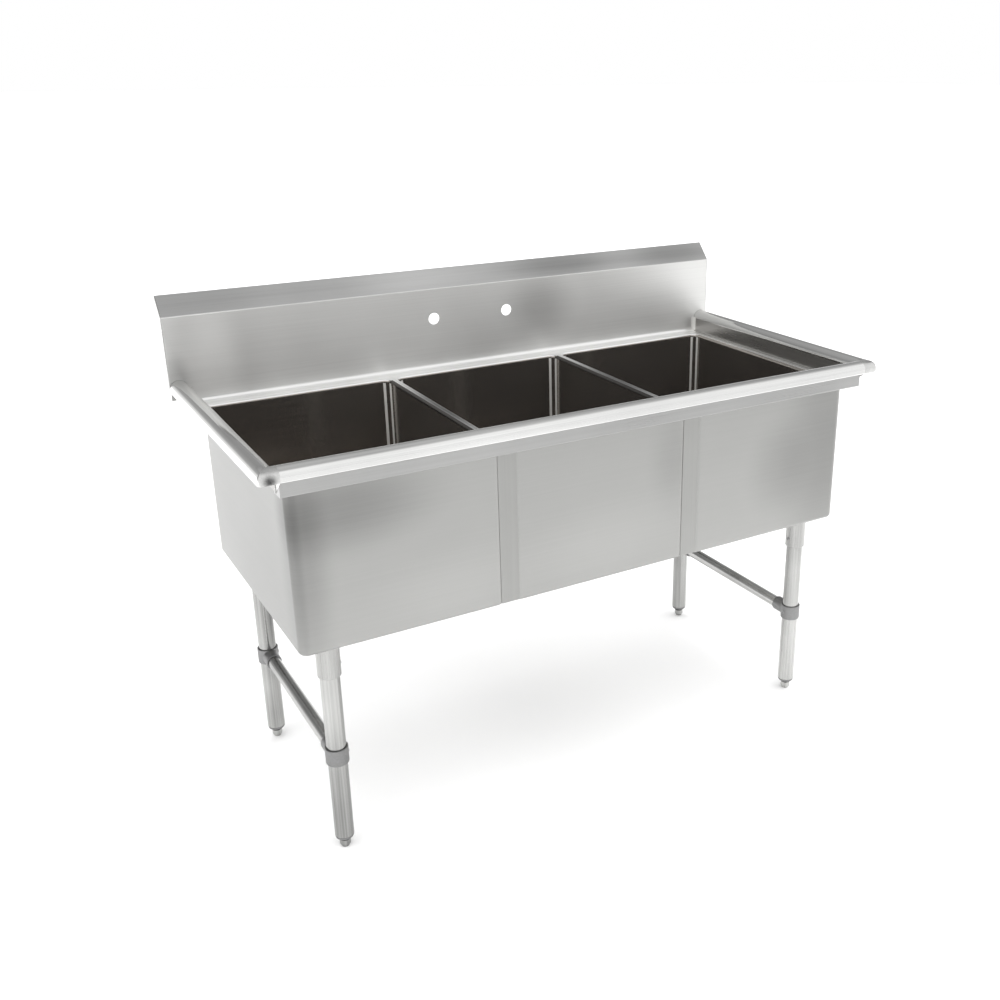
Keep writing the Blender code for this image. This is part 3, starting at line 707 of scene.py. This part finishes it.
def make_rim_weld(side, sign):
    """A thin bead where a side rim's roll dies into the splash."""
    centre = (ROLL_RADIUS, ROLL_SPRING)
    path = arc(centre, ROLL_RADIUS - RIM_BEAD * BEAD_SINK, 180, BEAD_END, ROLL_STEPS)
    rings = []
    for out, z in path:
        way = Vector((out - ROLL_RADIUS, z - ROLL_SPRING)).normalized()
        ring = []
        for across, along in arc((0, 0), RIM_BEAD, 0, 360, 8)[:-1]:
            x = sign * (DECK_HALF + out + way.x * across)
            ring.append((x, SPLASH_FACE - TOUCH + along, z + way.y * across))
        rings.append(ring)
    finished(lofted(f"rim_weld_{side}", rings, weld), "sink_frame", "polished_rim")


# --- Front trim ---------------------------------------------------------------------------
def make_front_trim():
    back = BOWL_FRONT - TOUCH
    path = bent_path(
        [(back, CHANNEL_LOW), (CHANNEL_FACE, CHANNEL_LOW), (CHANNEL_FACE, ROLL_SPRING)],
        (CHANNEL_BEND,),
    )
    half = DECK_HALF - TOUCH
    outline = [(-half, y, z) for y, z in bent_sheet(path, SHEET)]
    channel = prism("rim_channel_folded", outline, (2 * half, 0, 0), trim_steel)
    finished(channel, "sink_frame", "brushed_sheet", "rim_front_channel")
    near, far = CHANNEL_FACE + SHEET, DECK_FRONT - SHEET
    low, high = CHANNEL_LOW + SHEET, ROLL_SPRING - SHEET
    for side, sign in ENDS:
        outer, inner = sign * half, sign * (half - SHEET)
        closed = [(outer, far, low), (outer, near, low), (outer, near, high), (outer, far, high)]
        cap = prism(f"rim_channel_cap_{side}", closed, (inner - outer, 0, 0), trim_steel)
        finished(cap, "sink_frame", "brushed_sheet")
    for side, _ in ENDS:
        low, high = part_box(f"seam_cover_{side}")
        outline = bent_path(
            [(low.x, high.y), (low.x, low.y), (high.x, low.y), (high.x, high.y)],
            (SEAM_EDGE, SEAM_EDGE), 3,
        )
        cover = prism(
            f"seam_cover_{side}_plate", [(x, y, low.z) for x, y in outline],
            (0, 0, high.z - low.z), seam_steel,
        )
        finished(cover, "sink_frame", "brushed_sheet", f"seam_cover_{side}")
        for edge, x in (("near", low.x), ("far", high.x)):
            start, end = (x, low.y + SEAM_BEAD, low.z + SEAM_BEAD), (x, low.y + SEAM_BEAD, high.z)
            bead = rod(f"seam_weld_{side}_{edge}", SEAM_BEAD, start, end, 12, seam_steel)
            finished(bead, "sink_frame", "brushed_sheet")


# --- Backsplash ---------------------------------------------------------------------------
def make_backsplash():
    apex = SPLASH_TOP + APEX_RISE * SPLASH_BEND  # the sharp corner that the top bend rounds off
    corners = [
        (SPLASH_FACE, COVE_TOP),
        (SPLASH_FACE, SPLASH_FOLD),
        (BACK, apex),
        (BACK, SPLASH_TOP - SPLASH_RETURN),
    ]
    half = HALF_LENGTH - SHEET - TOUCH
    outline = bent_sheet(bent_path(corners, (FOLD_BEND, SPLASH_BEND)), SHEET)
    panel = prism(
        "backsplash_folded", [(-half, y, z) for y, z in outline], (2 * half, 0, 0),
        (splash_steel, slope_painted_shade_steel, back_painted_shade_steel),
    )
    for side in (-1, 1):
        x = side * TAP_OFFSET
        start, end = [(x, SPLASH_FACE + reach, TAP_HEIGHT) for reach in (-CUT_REACH, CUT_REACH)]
        combine(panel, rod("tap_hole", TAP_RADIUS, start, end, 48, splash_steel), "DIFFERENCE")
    # Faces that point up on the slope take the darker copy: painted shade.
    painted(panel, 1, lambda face: face.normal.z > SLOPE_TURN and face.center.z > SPLASH_FOLD)
    # Faces that point back take the darker copy: painted shade.
    painted(panel, 2, lambda face: face.normal.y > BACK_TURN)
    finished(panel, "sink_frame", "brushed_sheet", "backsplash_panel")
    for side, sign in ENDS:
        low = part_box(f"splash_end_{side}")[0]
        profile = [(low.y, ROLL_LIP), (low.y, SPLASH_FOLD), (BACK, apex), (BACK, ROLL_LIP)]
        shape = [(low.x, y, z) for y, z in bent_path(profile, (FOLD_BEND, SPLASH_BEND))]
        plate = prism(f"splash_end_{side}_plate", shape, (SHEET, 0, 0), end_plate)
        rounded(plate, PLATE_EASE)
        finished(plate, "sink_frame", "brushed_sheet", f"splash_end_{side}")
        make_rim_cove(side, sign)


def make_rim_cove(side, sign):
    """The upright cove between a side rim's inner wall and the splash."""
    centre = (DECK_HALF - RIM_COVE, SPLASH_FACE - RIM_COVE)
    deep_x, deep_y = DECK_HALF + COVE_OVERLAP, SPLASH_FACE + COVE_OVERLAP
    plan = [(deep_x, deep_y), (centre[0], deep_y)] + arc(centre, RIM_COVE, 90, 0, 8)
    plan.append((deep_x, centre[1]))
    outline = [(sign * x, y, DECK_TOP) for x, y in plan]
    rise = (0, 0, ROLL_SPRING + COVE_RISE - DECK_TOP)
    # The cove takes the bright material: painted highlight.
    cove = prism(f"rim_cove_{side}", outline, rise, cove_highlight_steel)
    finished(cove, "sink_frame", "polished_rim")


# --- Legs, feet and braces ----------------------------------------------------------------
LEG_STEPS = 56
EASE = 0.0006  # broken edges of turned and cut parts
SOCKET_BEAD = 0.0026
PLATE_CORNER = 0.005
THREAD_DEPTH = 0.0005
THREAD_MARGIN = 0.001  # plain length at each end of the thread
INSERT_BORE = 0.0066
INSERT_ROUND = 0.005
THREAD_TURNS = 18
BULLET_COLLAR = 0.0185  # height of the foot's wide lower part
BULLET_STEM = 0.0062
BULLET_TIP = 0.0085  # radius of the flat that stands on the floor
BULLET_ROUND = 0.0045
BULLET_ROUND_HEIGHT = 0.0078
PLATE_THICKNESS = 0.003
SLEEVE_RADIUS = 0.0245
SLEEVE_BORE = 0.0211
STUB_RADIUS = 0.0185
STUB_BORE = 0.0154
STUB_FLOOR = 0.027
CAST_VOXEL = 0.0011
HEX_KEY = 0.0022
SCREW_TIP = 0.6  # share of a screw's radius that its flat tip has
KEY_END = 0.1  # share of its length, from the middle, that the key's hole ends at


def turned_part(name, outline, steps, finish, place):
    """A part spun about Z, then put in place by a matrix."""
    piece = spun(name, outline, steps, finish)
    piece.data.transform(place)
    return piece


def sleeve_outline(bore, radius, low, high):
    return [
        (bore, low), (radius - EASE, low), (radius, low + EASE),
        (radius, high - EASE), (radius - EASE, high), (bore, high),
    ]


def make_leg(name):
    low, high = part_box(f"leg_{name}")
    middle = (low + high) / 2
    radius = (high.x - low.x) / 2
    outline = sleeve_outline(radius - SHEET, radius, low.z, high.z)
    tube = spun(f"leg_{name}_tube", outline, LEG_STEPS, tube_z, (middle.x, middle.y, 0))
    finished(tube, "sink_frame", "tube_steel", f"leg_{name}")


def make_socket(name):
    """Plate and sleeve under the bowl, with the weld between them."""
    low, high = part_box(f"leg_socket_{name}")
    middle = (low + high) / 2
    under = high.z - PLATE_THICKNESS
    size = high.x - low.x
    loop = rounded_loop((middle.x, middle.y), size, size, PLATE_CORNER, under)
    plate = prism(f"leg_socket_{name}_plate", loop, (0, 0, PLATE_THICKNESS), socket_steel)
    rounded(plate, EASE)
    finished(plate, "sink_frame", "tube_steel", f"leg_socket_{name}")
    outline = sleeve_outline(SLEEVE_BORE, SLEEVE_RADIUS, low.z, under)
    spot = (middle.x, middle.y, 0)
    sleeve = spun(f"leg_socket_{name}_sleeve", outline, LEG_STEPS, socket_steel, spot)
    finished(sleeve, "sink_frame", "tube_steel", f"leg_socket_{name}")
    foot = (middle.x, middle.y, under)
    bead = torus(f"leg_socket_{name}_weld", foot, SLEEVE_RADIUS, SOCKET_BEAD, weld)
    finished(bead, "sink_frame", "tube_steel")


def make_screw(node, body):
    """A grub screw with a hexagon socket, its tip towards the leg."""
    low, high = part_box(node)
    middle = (low + high) / 2
    radius, length = (high.z - low.z) / 2, high.x - low.x
    inwards = -1 if middle.x > 0 else 1
    outline = [
        (0, -length / 2), (radius * SCREW_TIP, -length / 2),
        (radius, -length / 2 + radius * (1 - SCREW_TIP)),
        (radius, length / 2 - EASE), (radius - EASE, length / 2), (0, length / 2),
    ]
    screw = spun(f"{node}_hexagon", outline, 24, screw_steel)
    key = rod("hexagon_key", HEX_KEY, (0, 0, length * KEY_END), (0, 0, length), 6, screw_steel)
    combine(screw, key, "DIFFERENCE")
    turn = Matrix.Rotation(inwards * pi / 2, 4, "Y")
    screw.data.transform(Matrix.Translation(middle) @ turn)
    finished(screw, body, "grub_screw", node)


def make_foot(name):
    low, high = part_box(f"foot_insert_{name}")
    middle = (low + high) / 2
    radius, plug = (high.x - low.x) / 2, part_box(f"leg_{name}")[0].z
    inside = radius - SHEET
    insert = [(INSERT_BORE, low.z + EASE), (INSERT_BORE + EASE, low.z)]
    insert += arc((radius - INSERT_ROUND, low.z + INSERT_ROUND), INSERT_ROUND, -90, 0, 8)
    insert += [(radius, plug - TOUCH - EASE), (radius - EASE, plug - TOUCH)]
    insert += [(inside, plug - TOUCH), (inside, high.z), (INSERT_BORE, high.z)]
    spot = (middle.x, middle.y, 0)
    fixed = spun(f"foot_insert_{name}_plug", insert, 40, cast, spot)
    finished(fixed, "sink_frame", "cast_fitting", f"foot_insert_{name}")
    low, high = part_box(f"foot_{name}")
    radius = (high.x - low.x) / 2
    collar, root = BULLET_COLLAR, BULLET_STEM - THREAD_DEPTH
    bullet = [(0, 0), (BULLET_TIP, 0)]
    bullet += arc((radius - BULLET_ROUND, BULLET_ROUND_HEIGHT), BULLET_ROUND, -62, 0, 6)
    bullet += [(radius, collar - EASE), (radius - EASE, collar), (BULLET_STEM, collar)]
    step = (high.z - collar - 2 * THREAD_MARGIN) / THREAD_TURNS
    for index in range(THREAD_TURNS):
        z = collar + THREAD_MARGIN + index * step
        bullet += [(BULLET_STEM, z), (root, z + step / 2)]
    bullet += [(root, high.z), (0, high.z)]
    foot = spun(f"foot_{name}_bullet", bullet, 40, tube_z, spot, sharp=50)
    finished(foot, f"adjuster_{name}", "tube_steel", f"foot_{name}")


def cast_collar():
    """The T of a brace collar: two rounded sleeves, blended as a casting, then bored."""
    low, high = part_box("brace_collar_front_left")
    height, reach = high.z - low.z, high.y - (low.y + SLEEVE_RADIUS)
    outline = [(0, -height / 2)] + sleeve_outline(0, SLEEVE_RADIUS, -height / 2, height / 2)[1:-1]
    outline.append((0, height / 2))
    collar = spun("collar_casting", outline, LEG_STEPS, cast)
    stub = [(0, 0), (STUB_RADIUS, 0), (STUB_RADIUS, reach - EASE)]
    stub += [(STUB_RADIUS - EASE, reach), (0, reach)]
    lay = Matrix.Rotation(-pi / 2, 4, "X")
    combine(collar, turned_part("stub", stub, 40, cast, lay), "UNION")
    collar.modifiers.clear()
    skin = collar.modifiers.new("Cast skin", "REMESH")
    skin.mode = "VOXEL"
    skin.voxel_size = CAST_VOXEL
    skin.use_smooth_shade = True
    blend = collar.modifiers.new("Cast blend", "SMOOTH")
    blend.factor = 0.5
    blend.iterations = 6
    applied(collar)
    bore = rod("bore", SLEEVE_BORE, (0, 0, -height), (0, 0, height), LEG_STEPS, cast)
    combine(collar, bore, "DIFFERENCE")
    mouth = rod("mouth", STUB_BORE, (0, STUB_FLOOR, 0), (0, 2 * reach, 0), 40, cast)
    combine(collar, mouth, "DIFFERENCE")
    return collar


def make_braces():
    casting = cast_collar()
    for side, _ in ENDS:
        body = f"brace_{side}_set"
        low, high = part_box(f"side_brace_{side}")
        middle = (low + high) / 2
        radius, reach = (high.x - low.x) / 2, (high.y - low.y) / 2
        outline = sleeve_outline(radius - SHEET, radius, -reach, reach)
        place = Matrix.Translation(middle) @ Matrix.Rotation(-pi / 2, 4, "X")
        tube = turned_part(f"side_brace_{side}_tube", outline, 40, tube_y, place)
        finished(tube, body, "tube_steel", f"side_brace_{side}")
        for end, turn in (("front", 0), ("rear", pi)):
            node = f"brace_collar_{end}_{side}"
            low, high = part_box(node)
            near = low.y + SLEEVE_RADIUS if end == "front" else high.y - SLEEVE_RADIUS
            spot = Vector(((low.x + high.x) / 2, near, (low.z + high.z) / 2))
            mesh = casting.data.copy()
            mesh.transform(Matrix.Translation(spot) @ Matrix.Rotation(turn, 4, "Z"))
            collar = bpy.data.objects.new(f"{node}_casting", mesh)
            bpy.context.collection.objects.link(collar)
            smooth(collar)
            finished(collar, body, "cast_fitting", node)
            make_screw(f"collar_screw_{end}_{side}", body)
    bpy.data.objects.remove(casting)


# --- Drains -------------------------------------------------------------------------------
DRAIN_STEPS = 64
DRAIN_PITCH = 0.0018
DRAIN_RIDGE = 0.0007  # depth of the drain body's threads
STRAINER_RINGS = ((0.0105, 8), (0.0170, 12), (0.0235, 18), (0.0298, 22))  # radius, holes
STRAINER_HOLE = 0.0017
CUP_EDGE = 0.0048  # how far the strainer's edge reaches past its cup
CUP_SHEET = 0.0012
CUP_BEND = 0.004
CUP_CUT = 0.006  # length of the tools that cut its holes
RING_BORES = {"gasket": 0.0441, "locknut": 0.0433}
SLOTS = 8  # spanner slots round a locknut
SLOT_SIZE = (0.008, 0.010)
SLOT_RISE = 0.3  # share of the nut's thickness that the slots' middle stands at


def threaded(radius, top, bottom):
    """A thread seen from the side, as ridges from top down to bottom."""
    points = []
    for index in range(int((top - bottom) / DRAIN_PITCH)):
        z = top - index * DRAIN_PITCH
        points += [(radius - DRAIN_RIDGE, z), (radius, z - DRAIN_PITCH / 2)]
    return points


def make_drain(side):
    low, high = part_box(f"drain_body_{side}")
    middle = (low + high) / 2
    spot = (middle.x, middle.y, RECESS_TOP)
    flange, end = (high.x - low.x) / 2, RECESS_TOP - low.z
    body = [(flange, TOUCH)] + arc((flange - 0.0009, 0.0011), 0.0009, 0, 90, 4)
    body += arc((0.0440, -0.0012), 0.0030, 90, 180, 6)
    body += [(0.0386, -0.0040), (0.0376, -0.0270), (0.0366, -0.0288), (0.0195, -0.0347)]
    body += [(0.0190, -0.0365), (0.0190, -end), (0.0226, -end)]
    body += threaded(0.0230, -0.0400, -end + 0.001)[::-1]
    body += [(0.0228, -0.0385), (0.0405, -0.0335), (0.0418, -0.0320)]
    body += threaded(0.0425, -0.0040, -0.0310)[::-1]
    body += [(0.0420, TOUCH)]
    fitted = spun(f"drain_body_{side}_turned", body, DRAIN_STEPS, turned, spot, sharp=50)
    finished(fitted, "sink_frame", "polished_rim", f"drain_body_{side}")
    make_strainer(side)
    for node, finish, slot in (("gasket", rubber, "black_rubber"), ("locknut", brass, "brass")):
        low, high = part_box(f"drain_{node}_{side}")
        outside, bore = (high.x - low.x) / 2, RING_BORES[node]
        thick = high.z - low.z
        outline = [
            (bore, EASE), (bore + EASE, 0), (outside - EASE, 0), (outside, EASE),
            (outside, thick - EASE), (outside - EASE, thick), (bore + EASE, thick),
            (bore, thick - EASE),
        ]
        spot = (middle.x, middle.y, low.z)
        ring = spun(f"drain_{node}_{side}_ring", outline, DRAIN_STEPS, finish, spot)
        if node == "locknut":
            cut_slots(ring, middle, low.z, thick, outside)
        finished(ring, "sink_frame", slot, f"drain_{node}_{side}")


def cut_slots(ring, middle, low, thick, outside):
    """The spanner slots round a locknut."""
    bm = bmesh.new()
    size = Matrix.Diagonal((*SLOT_SIZE, thick, 1))
    for index in range(SLOTS):
        turn = Matrix.Rotation(index * 2 * pi / SLOTS, 4, "Z")
        place = Matrix.Translation((middle.x, middle.y, low + thick * SLOT_RISE)) @ turn
        spot = place @ Matrix.Translation((outside, 0, 0)) @ size
        bmesh.ops.create_cube(bm, size=1.0, matrix=spot)
    combine(ring, new_object("spanner_slots", bm, brass), "DIFFERENCE")


def make_strainer(side):
    """The perforated basket with its knob, and the stopper under it."""
    low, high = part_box(f"strainer_basket_{side}")
    middle = (low + high) / 2
    edge, depth, top = (high.x - low.x) / 2, RECESS_TOP - low.z, high.z - RECESS_TOP
    wall, sheet = edge - CUP_EDGE, CUP_SHEET
    cup = [(0, -depth), (wall - CUP_BEND, -depth)]
    cup += arc((wall - CUP_BEND, CUP_BEND - depth), CUP_BEND, -80, 0, 6)
    cup += [(wall, -0.0050), (wall + 0.0015, -0.0040), (edge, 0.0004), (edge - 0.0002, 0.0012)]
    cup += [(edge - 0.0012, 0.0012), (wall + 0.0006, -0.0030), (wall - sheet, -0.0046)]
    cup += arc((wall - CUP_BEND, CUP_BEND - depth), CUP_BEND - sheet, 0, -80, 6)
    cup += [(0.0060, sheet - depth), (0.0042, sheet - depth + 0.001), (0.0036, -0.0065)]
    cup += arc((0.0070, -0.0020), 0.0025, -120, 60, 8) + [(0.0030, top - 0.0006), (0, top)]
    spot = (middle.x, middle.y, RECESS_TOP)
    basket = spun(f"strainer_basket_{side}_cup", cup, DRAIN_STEPS, turned, spot)
    bm = bmesh.new()
    for radius, count in STRAINER_RINGS:
        for index in range(count):
            angle = 2 * pi * (index + 0.5) / count
            x, y = middle.x + radius * cos(angle), middle.y + radius * sin(angle)
            place = Matrix.Translation((x, y, low.z))
            bmesh.ops.create_cone(
                bm, cap_ends=True, segments=10, radius1=STRAINER_HOLE, radius2=STRAINER_HOLE,
                depth=CUP_CUT, matrix=place,
            )
    combine(basket, new_object("perforation", bm, turned), "DIFFERENCE")
    finished(basket, f"basket_{side}", "polished_rim", f"strainer_basket_{side}")
    low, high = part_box(f"basket_stopper_{side}")
    radius, thick = (high.x - low.x) / 2, high.z - low.z
    outline = [(0, 0), (radius - 0.004, 0), (radius, 0.0016), (radius, 0.0026)]
    outline.append((radius - 0.0012, 0.0034))
    outline += [(radius - 0.0004, thick - 0.0008), (radius - 0.0012, thick), (0, thick)]
    stopper = spun(f"basket_stopper_{side}_disc", outline, 48, rubber, (middle.x, middle.y, low.z))
    finished(stopper, f"basket_{side}", "black_rubber", f"basket_stopper_{side}")


def make_sink():
    centres = {side: (middle_of(f"bowl_{side}").x, BOWL_MIDDLE_Y) for side in SIDES}
    make_deck(centres.values())
    for side, centre in centres.items():
        make_bowl(side, centre)
        make_drain(side)
    make_rim()
    make_front_trim()
    make_backsplash()
    for name in LEG_NAMES:
        make_leg(name)
        make_socket(name)
        make_screw(f"socket_screw_{name}", "sink_frame")
        make_foot(name)
    make_braces()


# --- Stage, light and camera --------------------------------------------------------------
EYE = (-1.2044, -2.2371, 1.6001)
HEADING, DIP, ROLL = -32.0, 20.73, 0.18  # degrees
LENS = 40.13
LENS_SHIFT = (-0.1021, -0.0195)
SUN_STRENGTH, SUN_WIDTH = 3.3, 110
TURNOVER = 0.25  # half width of the change from the world ahead to the one behind
FLOOR_NEAR, FLOOR_FAR = -2.4, -1.0  # y between which the floor brightens
FLOOR_GREY, FLOOR_WHITE = 0.60, 0.97
BEHIND = ((0.0, 1.0), (0.08, 1.0), (0.20, 0.45), (0.42, 0.30), (1.0, 0.55))  # height, grey
AHEAD = ((0.0, 0.9), (0.12, 1.0), (0.82, 1.0), (0.93, 0.45), (1.0, 0.50))


def make_floor():
    """A pale floor, white under the object and a little greyer towards the viewer."""
    bm = bmesh.new()
    bmesh.ops.create_grid(bm, x_segments=1, y_segments=1, size=60)
    floor = bpy.data.meshes.new("floor")
    bm.to_mesh(floor)
    bm.free()
    paint = bpy.data.materials.new("floor_pale")
    paint.use_nodes = True
    tree = paint.node_tree
    shader = tree.nodes["Principled BSDF"]
    shader.inputs["Roughness"].default_value = 0.8
    shader.inputs["Specular IOR Level"].default_value = 0.1
    split = node_of(tree, "SeparateXYZ")
    tree.links.new(node_of(tree, "TexCoord").outputs["Object"], split.inputs[0])
    reach = (FLOOR_NEAR, FLOOR_FAR, FLOOR_GREY, FLOOR_WHITE)
    share = remap(tree, split.outputs["Y"], *reach)
    tree.links.new(shaded(tree, (1, 1, 1), share), shader.inputs["Base Color"])
    floor.materials.append(paint)
    made = bpy.data.objects.new("studio_floor", floor)
    bpy.context.collection.objects.link(made)


def grey_ramp(tree, value, stops):
    ramp = node_of(tree, "ValToRGB")
    elements = ramp.color_ramp.elements
    while len(elements) < len(stops):
        elements.new(0.5)
    for element, (place, grey) in zip(elements, stops):
        element.position = place
        element.color = (grey, grey, grey, 1)
    tree.links.new(value, ramp.inputs["Fac"])
    return ramp.outputs["Color"]


def make_light():
    """A studio: white all round near the floor, a soft bank of light in front, a grey ceiling."""
    world = bpy.data.worlds.new("studio_world")
    world.use_nodes = True
    bpy.context.scene.world = world
    tree = world.node_tree
    split = node_of(tree, "SeparateXYZ")
    tree.links.new(node_of(tree, "TexCoord").outputs["Generated"], split.inputs[0])
    height = node_of(tree, "Math", operation="MAXIMUM")
    height.inputs[1].default_value = 0.0
    tree.links.new(split.outputs["Z"], height.inputs[0])
    behind = grey_ramp(tree, height.outputs[0], BEHIND)
    ahead = grey_ramp(tree, height.outputs[0], AHEAD)
    mixed = node_of(tree, "Mix", data_type="RGBA")
    share = remap(tree, split.outputs["Y"], -TURNOVER, TURNOVER, 0.0, 1.0)
    tree.links.new(share, mixed.inputs[0])
    tree.links.new(ahead, mixed.inputs[6])
    tree.links.new(behind, mixed.inputs[7])
    tree.links.new(mixed.outputs[2], tree.nodes["Background"].inputs["Color"])
    sun = bpy.data.lights.new("ceiling_light", "SUN")
    sun.energy = SUN_STRENGTH
    sun.angle = radians(SUN_WIDTH)
    lamp = bpy.data.objects.new("ceiling_light", sun)
    lamp.visible_glossy = False
    bpy.context.collection.objects.link(lamp)


def make_camera():
    """The photograph's point of view."""
    data = bpy.data.cameras.new("camera")
    data.sensor_width = 36.0
    data.lens = LENS
    data.shift_x, data.shift_y = LENS_SHIFT
    made = bpy.data.objects.new("camera", data)
    turn = Matrix.Rotation(radians(HEADING), 4, "Z") @ Matrix.Rotation(radians(90 - DIP), 4, "X")
    turn = turn @ Matrix.Rotation(radians(ROLL), 4, "Z")
    made.matrix_world = Matrix.Translation(EYE) @ turn
    bpy.context.collection.objects.link(made)
    bpy.context.scene.camera = made


make_sink()
make_floor()
make_light()
make_camera()
bpy.context.scene.view_settings.view_transform = "Standard"
